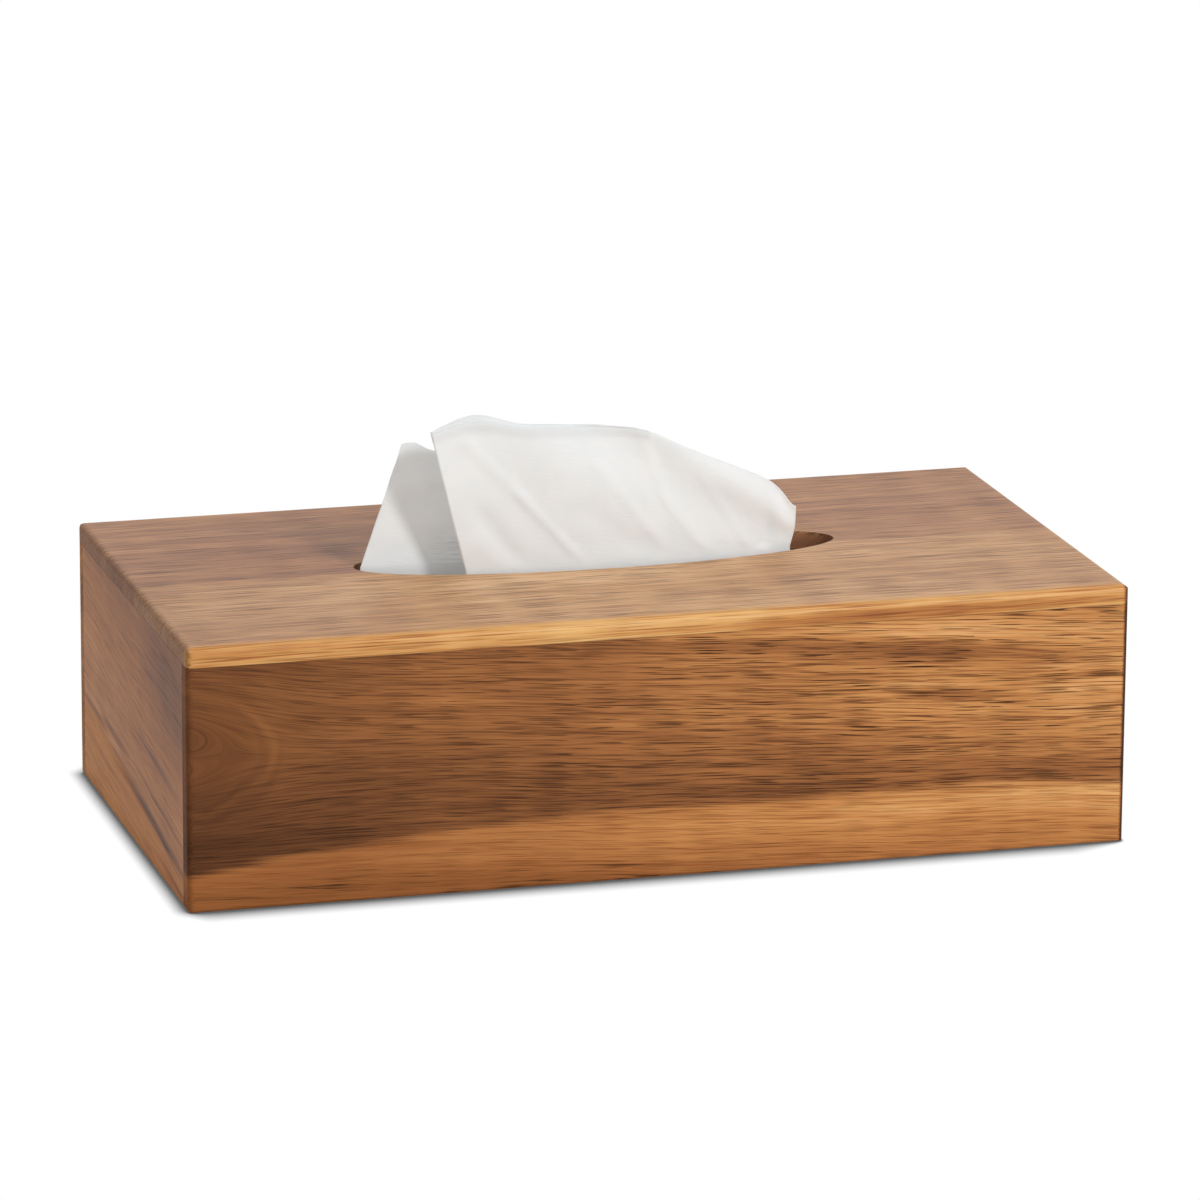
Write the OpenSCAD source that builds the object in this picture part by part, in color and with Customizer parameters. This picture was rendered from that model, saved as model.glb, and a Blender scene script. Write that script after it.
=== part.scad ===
/* [Case] */
// Length of the case over its end boards
case_l = 260; // [240:1:300]
// Depth of the case from front to back
case_w = 137; // [130:1:170]
// Height of the case
case_h = 72; // [66:1:110]
// Thickness of the front, back and end boards
wall_t = 6; // [5:0.5:8]
// Thickness of the top
top_t = 5.2; // [4:0.2:8]
// How far the top's glue line lies in front of the middle
glue_line_off = 4; // [0:0.5:12]

/* [Edges] */
// Radius of the arrises round the top
top_edge_r = 2; // [1:0.25:3]
// Radius of the upright corners
corner_r = 2; // [1:0.25:3]
// Radius of the arrises round the foot
foot_edge_r = 1; // [0.5:0.25:2]

/* [Slot] */
// Length of the oval slot in the top
slot_l = 136; // [110:1:150]
// Width of the oval slot
slot_w = 35; // [30:1:45]
// How far the slot's centre lies behind the middle
slot_off = 1; // [0:0.5:6]

/* [Sliding base] */
// Thickness of the base panel
base_t = 3; // [2.5:0.25:4.5]
// Depth of the groove that carries the base
groove_d = 2.5; // [2:0.25:3.5]
// Height of the groove's lower edge over the foot
groove_z = 4; // [3:0.5:8]
// Running gap on each side of the base in its groove
run_gap = 0.3; // [0.2:0.05:0.5]
// How far the base's open end stands back from the case's end
base_set_back = 0.5; // [0.25:0.25:2]
// Radius of the ball that scoops the thumb hold under the base
scoop_r = 20; // [12:1:30]
// Depth of the thumb hold
scoop_d = 1.2; // [0.6:0.1:1.6]
// Distance of the thumb hold's middle from the base's open end
scoop_inset = 18; // [16:1:40]

/* [Tissues] */
// Length of the folded pack
pack_l = 200; // [180:1:215]
// Depth of the folded pack
pack_w = 100; // [90:1:105]
// Radius of the pack's soft folded edges
pack_edge_r = 4; // [2:0.5:8]
// Free height between the pack and the top
head_space = 11.2; // [10:0.2:25]
// Gap between soft pieces and what carries them
rest_gap = 0.3; // [0.2:0.05:0.5]
// Thickness that the drawn tissue's plies fill
sheet_t = 0.6; // [0.4:0.1:1]
// Height of the drawn tissue's peak over the top
sheet_rise = 43.2; // [25:0.2:60]
// Depth of the soft folds across the drawn tissue
fold_d = 1.1; // [0:0.1:1.6]

/* [Hidden] */
$fn = 64;
// Overrun of every cut past the piece that it cuts
over = 1;

// Inner faces of the boards and levels of the case
inner_l = case_l - 2 * wall_t;
inner_w = case_w - 2 * wall_t;
top_z = case_h - top_t;
groove_h = base_t + 2 * run_gap;
groove_top_z = groove_z + groove_h;

// The base panel in its groove
base_x0 = -inner_l / 2 - groove_d + run_gap;
base_x1 = case_l / 2 - base_set_back;
base_w = inner_w + 2 * (groove_d - run_gap);
base_z = groove_z + run_gap;

// The pack on the base
pack_z = base_z + base_t + rest_gap;
pack_top_z = top_z - head_space;
pack_h = pack_top_z - pack_z;

// The drawn tissue as strings that run from its upper edge, through the slot, to its hem.
// Upper edge: shares of the slot's half length, of its half width and of the rise,
// from the front leaf's free edge, round the right hand fold, to the flap's free edge
rim_shares = [
    [-0.729, -0.69, 0.914], [-0.547, -0.60, 0.998], [-0.351, -0.54, 0.921],
    [-0.188, -0.51, 0.898], [0.000, -0.51, 0.875], [0.180, -0.51, 0.821],
    [0.395, -0.51, 0.660], [0.682, -0.51, 0.456], [0.785, -0.41, 0.290],
    [0.815, -0.20, 0.240], [0.710, 0.16, 0.240], [0.450, 0.34, 0.360],
    [0.120, 0.42, 0.500], [-0.200, 0.45, 0.600], [-0.450, 0.46, 0.660],
    [-0.635, 0.45, 0.679], [-0.718, 0.45, 0.737], [-0.772, 0.45, 0.735]
];
// Waist in the slot: shares of the slot's half length and half width
waist_shares = [
    [-0.587, -0.72], [-0.430, -0.77], [-0.265, -0.79], [-0.120, -0.80], [0.045, -0.80],
    [0.206, -0.79], [0.400, -0.74], [0.600, -0.63], [0.740, -0.48], [0.790, -0.32],
    [0.725, -0.17], [0.485, -0.11], [0.176, -0.10], [-0.147, -0.09], [-0.440, -0.08],
    [-0.676, -0.07], [-0.840, -0.06], [-0.976, -0.03]
];
// Hem on the pack: shares of the pack's half length and half depth
hem_shares = [
    [-0.52, -0.90], [-0.42, -0.92], [-0.28, -0.92], [-0.12, -0.92], [0.04, -0.92],
    [0.20, -0.92], [0.40, -0.92], [0.62, -0.88], [0.84, -0.62], [0.92, -0.12],
    [0.86, 0.42], [0.62, 0.86], [0.25, 0.92], [-0.10, 0.92], [-0.38, 0.92],
    [-0.62, 0.90], [-0.80, 0.84], [-0.92, 0.70]
];
// Level of the hem's middle layer, and the radius in which the strings turn out to it
hem_z = pack_top_z + rest_gap + sheet_t / 2;
bend_share = 0.5;
bend_r = bend_share * head_space;
// Steps along the edge, and down each string: above the slot, through the bend, along the hem
edge_steps = 44;
rise_steps = 6;
bend_steps = 3;
hem_steps = 2;
string_steps = rise_steps + 1 + bend_steps + hem_steps;
// The folds fan out from this column of the tables, at this turn for each column
fold_root = 1;
fold_turn = 105;
fold_spread = 0.9;
// Share of the rise by which the folds already stand at the upper edge
fold_lead_share = 0.17;

// A rectangle that stands on the X axis, with its upper and lower corners rounded
module rounded_side(l, h, upper_r, lower_r) {
    translate([-l / 2, lower_r]) square([l, h - upper_r - lower_r]);
    translate([upper_r - l / 2, lower_r]) square([l - 2 * upper_r, h - lower_r]);
    translate([lower_r - l / 2, 0]) square([l - 2 * lower_r, h - upper_r]);
    for (side = [-1, 1]) {
        translate([side * (l / 2 - upper_r), h - upper_r]) circle(r = upper_r);
        translate([side * (l / 2 - lower_r), lower_r]) circle(r = lower_r);
    }
}

// The whole outside of the case, which every board is cut from
module case_form() {
    intersection() {
        translate([0, -case_w / 2, 0]) linear_extrude(case_h)
            rounded_side(case_l, case_w, corner_r, corner_r);
        translate([0, case_w / 2, 0]) rotate([90, 0, 0]) linear_extrude(case_w)
            rounded_side(case_l, case_h, top_edge_r, foot_edge_r);
        translate([-case_l / 2, 0, 0]) rotate([90, 0, 90]) linear_extrude(case_l)
            rounded_side(case_w, case_h, top_edge_r, foot_edge_r);
    }
}

// A board of the case between two corners
module board(low, high) {
    intersection() {
        case_form();
        translate(low) cube(high - low);
    }
}

// The groove that runs round three sides and out through the right hand end
module groove() {
    translate([-inner_l / 2 - groove_d, -inner_w / 2 - groove_d, groove_z])
        cube([case_l, inner_w + 2 * groove_d, groove_h]);
}

// The oval slot, cut through the top
module slot() {
    translate([0, slot_off, top_z - over]) scale([slot_l / slot_w, 1, 1])
        cylinder(d = slot_w, h = top_t + 2 * over);
}

module top_back_stave() {
    color("#A9886F") difference() {
        board([-case_l / 2, -glue_line_off, top_z], [case_l / 2, case_w / 2, case_h]);
        slot();
    }
}

module top_front_stave() {
    color("#B98F66") difference() {
        board([-case_l / 2, -case_w / 2, top_z], [case_l / 2, -glue_line_off, case_h]);
        slot();
    }
}

module front_board() {
    color("#8A5A30") difference() {
        board([-case_l / 2, -case_w / 2, 0], [case_l / 2, -inner_w / 2, top_z]);
        groove();
    }
}

module back_board() {
    color("#84562F") difference() {
        board([-case_l / 2, inner_w / 2, 0], [case_l / 2, case_w / 2, top_z]);
        groove();
    }
}

module left_end_board() {
    color("#94694F") difference() {
        board([-case_l / 2, -inner_w / 2, 0], [-inner_l / 2, inner_w / 2, top_z]);
        groove();
    }
}

// The right hand end stops over the groove, so that the base slides out below it
module right_end_board() {
    color("#9A6E4C")
        board([inner_l / 2, -inner_w / 2, groove_top_z], [case_l / 2, inner_w / 2, top_z]);
}

module base_panel() {
    color("#B98A5C") difference() {
        translate([base_x0, -base_w / 2, base_z]) cube([base_x1 - base_x0, base_w, base_t]);
        translate([base_x1 - scoop_inset, 0, base_z + scoop_d - scoop_r]) sphere(r = scoop_r);
    }
}

module tissue_pack() {
    color("#F2F0EC") translate([-pack_l / 2, 0, pack_z]) rotate([90, 0, 90])
        linear_extrude(pack_l) rounded_side(pack_w, pack_h, pack_edge_r, pack_edge_r);
}

// A smooth curve through the rows of a table, at u rows from the first
function along(table, u) =
    let(
        last = len(table) - 1,
        i = min(floor(u), last - 1),
        f = u - i,
        a = table[max(i - 1, 0)],
        b = table[i],
        c = table[i + 1],
        d = table[min(i + 2, last)]
    )
    b + f / 2 * (c - a + f * (2 * a - 5 * b + 4 * c - d + f * (3 * b - a - 3 * c + d)));

// Points of the upper edge, the waist and the hem
function rim(u) =
    let(s = along(rim_shares, u))
    [s.x * slot_l / 2, slot_off + s.y * slot_w / 2, case_h + s.z * sheet_rise];
function waist(u) =
    let(s = along(waist_shares, u))
    [s.x * slot_l / 2, slot_off + s.y * slot_w / 2, case_h];
function hem(u) =
    let(s = along(hem_shares, u))
    [s.x * pack_l / 2, s.y * pack_w / 2, hem_z];

// How far a soft fold stands back from the straight string, at share v of its rise
function fold(u, v) =
    fold_d * cos(fold_turn * (u - fold_root) / (v + fold_spread)) * sin(180 * min(1, v + fold_lead_share));

// A point of the quarter turn from the waist w out along the pack
function bend_point(w, out, turn) = [
    w.x + out.x * bend_r * (1 - cos(turn)),
    w.y + out.y * bend_r * (1 - cos(turn)),
    hem_z + bend_r * (1 - sin(turn))
];

// Point j of the string at u
function string_point(u, j) =
    let(
        w = waist(u),
        h = hem(u),
        reach = [h.x - w.x, h.y - w.y],
        out = reach / norm(reach),
        bent = j - rise_steps - 1,
        flat = bent - bend_steps,
        v = j / rise_steps,
        foot = bend_point(w, out, 90)
    )
    j <= rise_steps ? rim(u) + v * (w - rim(u)) + [0, fold(u, v), 0]
    : flat <= 0 ? bend_point(w, out, 90 * bent / bend_steps)
    : foot + flat / hem_steps * (h - foot);

// The middle layer of the drawn tissue, and its normals
sheet_mid = [
    for (i = [0 : edge_steps])
        let(u = (len(rim_shares) - 1) * i / edge_steps)
        [for (j = [0 : string_steps]) string_point(u, j)]
];
function sheet_normal(i, j) =
    let(
        across = sheet_mid[min(i + 1, edge_steps)][j] - sheet_mid[max(i - 1, 0)][j],
        down = sheet_mid[i][min(j + 1, string_steps)] - sheet_mid[i][max(j - 1, 0)],
        n = cross(across, down)
    )
    n / norm(n);

// One face of the sheet, half its thickness to one side of the middle layer
function sheet_face(side) = [
    for (i = [0 : edge_steps], j = [0 : string_steps])
        sheet_mid[i][j] + side * sheet_t / 2 * sheet_normal(i, j)
];

// Two triangles of a four cornered patch
function patch(a, b, c, d) = [[a, b, c], [a, c, d]];

module tissue_sheet() {
    row = string_steps + 1;
    back = (edge_steps + 1) * row;
    function at(i, j) = i * row + j;
    faces = [
        for (i = [0 : edge_steps - 1], j = [0 : string_steps - 1])
            each concat(
                patch(at(i, j), at(i, j + 1), at(i + 1, j + 1), at(i + 1, j)),
                patch(back + at(i, j), back + at(i + 1, j), back + at(i + 1, j + 1), back + at(i, j + 1))
            ),
        for (i = [0 : edge_steps - 1])
            each concat(
                patch(at(i, 0), at(i + 1, 0), back + at(i + 1, 0), back + at(i, 0)),
                patch(at(i, string_steps), back + at(i, string_steps),
                    back + at(i + 1, string_steps), at(i + 1, string_steps))
            ),
        for (j = [0 : string_steps - 1])
            each concat(
                patch(at(0, j), back + at(0, j), back + at(0, j + 1), at(0, j + 1)),
                patch(at(edge_steps, j), at(edge_steps, j + 1),
                    back + at(edge_steps, j + 1), back + at(edge_steps, j))
            )
    ];
    color("#E6E4E0") polyhedron(concat(sheet_face(-1), sheet_face(1)), faces);
}

top_back_stave();
top_front_stave();
front_board();
back_board();
left_end_board();
right_end_board();
base_panel();
tissue_pack();
tissue_sheet();
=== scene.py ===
import math

import bpy
import numpy as np
from mathutils import Matrix, Vector, noise


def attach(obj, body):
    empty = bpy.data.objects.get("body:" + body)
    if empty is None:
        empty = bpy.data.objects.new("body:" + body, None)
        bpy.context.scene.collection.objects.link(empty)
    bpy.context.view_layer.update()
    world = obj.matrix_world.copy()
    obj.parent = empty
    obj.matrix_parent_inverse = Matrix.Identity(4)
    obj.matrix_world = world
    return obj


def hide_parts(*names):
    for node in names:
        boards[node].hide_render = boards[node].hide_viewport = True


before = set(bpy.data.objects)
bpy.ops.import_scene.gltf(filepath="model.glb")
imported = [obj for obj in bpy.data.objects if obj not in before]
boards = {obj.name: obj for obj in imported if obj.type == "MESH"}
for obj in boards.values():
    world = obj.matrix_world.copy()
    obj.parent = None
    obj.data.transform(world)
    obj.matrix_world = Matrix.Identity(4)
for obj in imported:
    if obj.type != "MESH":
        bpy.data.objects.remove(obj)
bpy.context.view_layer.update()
scene = bpy.context.scene
mm = 0.001

photoView = {
    "azimuth": -15.869,  # degrees, from straight in front towards the left end
    "elevation": 15.748,
    "roll": 0.376,
    "distance": 1.9974,  # metres, from the middle of the case
    "pictureWidth": 1200,  # pixels, as are the next three
    "focalPixels": 7274.7,
    "caseRight": -3.97,  # from the frame's middle to the middle of the case
    "caseDown": 79.95,
    "sensorWidth": 36,  # millimetres
    "target": (0, 0, 0.036),
}

stageLook = {
    "ambient": 0.66,  # the white room's light on the object
    "keyPower": 17,  # watts
    "keySize": 0.34,
    "keyFrom": (30, 33),  # degrees to the right of the front, and above the floor
    "keyDistance": 2.0,
    "floorPaint": "#E6E6E6",
    "floorHalf": 4,  # metres
    "floorDrop": 0.0001,  # keeps the floor clear of the case's foot
    # The soft contact shadow: how far it reaches at the front and back, at the left end and at the
    # right end, between which places along X it changes, and from where a base slid out has it wide
    "contactReach": (0.009, 0.0045, 0.001),
    "leftChange": (-0.1305, -0.126),
    "rightChange": (0.114, 0.1305),
    "pastCase": (0.142, 0.154),
    "contactTone": (0.5, 0.12),  # how open the darkest place is, and how light it still is
}


def linear(colour):
    parts = [int(colour[i:i + 2], 16) / 255 for i in (1, 3, 5)]
    return (*[p / 12.92 if p < 0.04045 else ((p + 0.055) / 1.055) ** 2.4 for p in parts], 1)


def addNode(tree, kind, inputs=None, stops=None, **settings):
    node = tree.nodes.new(kind)
    for name, value in settings.items():
        setattr(node, name, value)
    for name, value in (inputs or {}).items():
        if isinstance(value, bpy.types.Node):
            value = value.outputs[0]
        if isinstance(value, bpy.types.NodeSocket):
            tree.links.new(value, node.inputs[name])
        else:
            node.inputs[name].default_value = value
    if stops:  # a ramp's places and what it has there, a colour or a grey
        ramp = node.color_ramp
        ramp.interpolation = "LINEAR" if isinstance(stops[0][1], str) else "CARDINAL"
        ramp.elements.remove(ramp.elements[1])
        for number, (place, value) in enumerate(stops):
            element = ramp.elements[0] if number == 0 else ramp.elements.new(place)
            element.position = place
            element.color = linear(value) if isinstance(value, str) else (value, value, value, 1)
    return node


def placeCamera(view):
    azimuth, elevation, roll = (math.radians(view[k]) for k in ("azimuth", "elevation", "roll"))
    back = Vector((
        math.sin(azimuth) * math.cos(elevation),
        -math.cos(azimuth) * math.cos(elevation),
        math.sin(elevation),
    ))
    right = Vector((math.cos(azimuth), math.sin(azimuth), 0))
    up = back.cross(right)
    focal = view["focalPixels"]
    forward = up * view["caseDown"] / focal - right * view["caseRight"] / focal - back
    away = -forward.normalized()
    level = Vector((0, 0, 1)).cross(away).normalized()
    upright = away.cross(level)
    side = math.cos(roll) * level + math.sin(roll) * upright
    top = math.cos(roll) * upright - math.sin(roll) * level
    place = Vector(view["target"]) + back * view["distance"]
    camera = bpy.data.objects.new("photoCamera", bpy.data.cameras.new("photoCamera"))
    camera.data.sensor_width = view["sensorWidth"]
    camera.data.lens = view["sensorWidth"] * focal / view["pictureWidth"]
    camera.data.clip_start = 0.05
    camera.data.clip_end = 30
    camera.matrix_world = Matrix((
        (side.x, top.x, away.x, place.x),
        (side.y, top.y, away.y, place.y),
        (side.z, top.z, away.z, place.z),
        (0, 0, 0, 1),
    ))
    scene.collection.objects.link(camera)
    scene.camera = camera


def seenByCamera(tree):  # 1 for what it sees, also in a reflection or through something clear
    rays = addNode(tree, "ShaderNodeLightPath").outputs
    seen = addNode(
        tree, "ShaderNodeMath", {0: rays["Is Camera Ray"], 1: rays["Is Glossy Ray"]}, operation="MAXIMUM",
    )
    return addNode(
        tree, "ShaderNodeMath", {0: seen, 1: rays["Is Transmission Ray"]}, operation="MAXIMUM",
    )


def makeStage(look):
    world = bpy.data.worlds.new("whiteRoom")
    world.use_nodes = True
    room = world.node_tree
    room.nodes.clear()
    seen = seenByCamera(room)
    strength = addNode(room, "ShaderNodeMapRange", {"Value": seen, "To Min": look["ambient"], "To Max": 1.0})
    sky = addNode(room, "ShaderNodeBackground", {"Color": (1, 1, 1, 1), "Strength": strength})
    addNode(room, "ShaderNodeOutputWorld", {"Surface": sky})
    scene.world = world

    floorMesh = bpy.data.meshes.new("floor")
    half = look["floorHalf"]
    floorMesh.from_pydata(
        [(-half, -half, 0), (half, -half, 0), (half, half, 0), (-half, half, 0)], [], [(0, 1, 2, 3)],
    )
    floor = bpy.data.objects.new("floor", floorMesh)
    floor.location.z = -look["floorDrop"]
    scene.collection.objects.link(floor)
    # Keeps a soft grey only where the case shuts out the room
    paint = bpy.data.materials.new("matt white sweep")
    paint.use_nodes = True
    tree = paint.node_tree
    tree.nodes.clear()
    seen = seenByCamera(tree)
    spot = addNode(tree, "ShaderNodeTexCoord").outputs["Object"]
    spot = addNode(tree, "ShaderNodeSeparateXYZ", {0: spot})
    wide, left, right = look["contactReach"]
    changes = (
        (look["leftChange"], left, wide, "MAXIMUM"), (look["rightChange"], wide, right, "MINIMUM"),
        (look["pastCase"], 0, wide, "MAXIMUM"),
    )
    reach = 0
    for (start, end), before, after, choice in changes:
        change = addNode(
            tree, "ShaderNodeMapRange",
            {"Value": spot, "From Min": start, "From Max": end, "To Min": before, "To Max": after},
        )
        reach = addNode(tree, "ShaderNodeMath", {0: reach, 1: change}, operation=choice)
    openness, light = look["contactTone"]
    crevice = addNode(tree, "ShaderNodeAmbientOcclusion", {"Distance": reach}, samples=16).outputs["AO"]
    crevice = addNode(tree, "ShaderNodeMapRange", {"Value": crevice, "From Min": openness, "To Min": light})
    white = addNode(tree, "ShaderNodeEmission", {"Color": (1, 1, 1, 1), "Strength": crevice})
    coat = addNode(tree, "ShaderNodeBsdfDiffuse", {"Color": linear(look["floorPaint"])})
    both = addNode(tree, "ShaderNodeMixShader", {0: seen, 1: coat, 2: white})
    addNode(tree, "ShaderNodeOutputMaterial", {"Surface": both})
    floorMesh.materials.append(paint)

    aside, above = (math.radians(a) for a in look["keyFrom"])
    toKey = Vector((math.sin(aside) * math.cos(above), -math.cos(aside) * math.cos(above), math.sin(above)))
    key = bpy.data.objects.new("keyLight", bpy.data.lights.new("keyLight", "AREA"))
    key.data.energy = look["keyPower"]
    key.data.shape = "DISK"
    key.data.size = look["keySize"]
    key.location = toKey * look["keyDistance"] + Vector(photoView["target"])
    key.rotation_euler = toKey.to_track_quat("Z", "Y").to_euler()
    scene.collection.objects.link(key)


print("scene: camera, floor and light")
placeCamera(photoView)
makeStage(stageLook)
scene.view_settings.view_transform = "Standard"


# Wood. Every board is acacia, sawn, planed, sanded and oiled, and has its own piece of the grain.
# The oil deepens the heartwood and leaves a low, silky sheen, the open pores show as short dark
# dashes, and end grain drinks more of it and is darker and duller. "along", "across" and "deep" say
# which way the grain runs, and all places are in millimetres in that order. A tone goes from 0,
# dark, to 1, golden.

heartTones = [
    (0, "#3A2010"), (0.2, "#5E381F"), (0.4, "#80502D"), (0.6, "#A2683B"), (0.8, "#C4874E"), (1, "#DFA66C"),
]
sapTones = [(0, "#4A2A14"), (0.12, "#865229"), (0.35, "#A06336"), (0.7, "#C8894E"), (1, "#E8B475")]
edgeTones = [(0, "#4A2A14"), (0.12, "#84491F"), (0.35, "#9C5B2A"), (0.7, "#C48545"), (1, "#E9B874")]
greyTones = [(0, "#46291B"), (0.3, "#7A5644"), (0.5, "#96664A"), (0.7, "#B27A52"), (1, "#D3A375")]
tanTones = [(0, "#6A4327"), (0.3, "#936441"), (0.6, "#BA875A"), (0.85, "#D8AA7C"), (1, "#E9C096")]
pinkTones = [(0, "#46291B"), (0.3, "#774E38"), (0.6, "#A06D4C"), (0.85, "#BE8A5F"), (1, "#D3A375")]
poreColour = "#361A07"
endColour = "#3E2018"
glueColour = "#2A160B"

grainScale = {  # length along the grain and width across it, in millimetres
    "wander": (110, 24),
    "band": (130, 6),
    "mottle": (14, 30),  # soft cross figure
    "streak": (40, 0.8),
    "fibre": (17, 0.34),  # the real fibres are finer, and are drawn as coarse as the photograph shows them
    "pore": (14, 0.37),  # one pore, cut lengthwise, in each such field
    "poreCluster": (30, 4),
}
# The top is seen at a low angle, where only coarser marks show
topGrain = {
    "wander": (170, 24), "band": (200, 6), "streak": (60, 0.8), "fibre": (24, 0.52), "pore": (19, 0.5),
    "poreCluster": (40, 6),
}
grainTone = {  # a pattern's values from the first to the second change the tone from third to fourth
    "band": (0, 1, -0.17, 0.17),
    "mottle": (0, 1, -0.1, 0.1),
    "streak": (0.25, 0.6, -0.11, 0.05),
    "fibre": (0.27, 0.48, -0.3, 0.05),
}
# What all the boards share, with lengths in millimetres
acacia = {
    "seedStep": 1.37,  # how far apart two seeds lie in the noises
    "wander": 2.6,  # how far the grain wanders to each side
    "ringSlant": 0.7,  # how far the figure shifts across for each millimetre deeper
    "knotCore": 0.45, "knotParting": 0.67,  # how near and how strongly it parts the grain, in rings
    "knotRagged": 9.0,  # how far its rings are out of round
    # The rings' tones from the middle outwards, and from where to where the wood goes calm, both
    # counted in shares of twice the outer ring
    "knotTones": [
        (0, 0.46), (0.3, 0.48), (0.4, 0.51), (0.45, 0.47), (0.5, 0.55), (0.56, 0.49), (0.62, 0.515),
        (0.7, 0.5),
    ],
    "knotEdge": (0.8, 0.4),
    "knotCalm": 0.5, "slotCalm": 0.8, "sapCalm": 0.65,  # how far fibres and pores fade there
    "slotArris": 1,  # depth over which the top goes over into the slot's wall
    "patchEdge": (1.8, 0.2),  # how soft a patch is, as shares of its size
    "sapRagged": 1.8, "sapFade": 1.5,  # how far the sapwood's border strays, and how softly it ends
    "poreStray": 1.7,  # keeps the pores from standing in rows
    "poreEdge": (0.45, 0.2),  # a pore's border and its dark middle, as shares of its field
    "poreChance": (0.7, 1.5),  # from which sum of cluster and luck a pore shows, and shows fully
    "endFacing": (0.3, 0.95),  # from where on a turned face shows end grain, and only that
    "endGrain": 0.4, "endPolish": 0.15,
    "glueLine": (0.2, 0.08),  # half the width of a glued joint's hairline, faint and full
    "roughness": (0.38, 0.56), "ior": 1.47,
    "sanded": 0.35,  # radius to which the sander breaks a sharp edge
    "poreBump": 0.35, "poreDepth": 0.12,
}
through = 999  # a patch that goes all the way through

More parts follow.
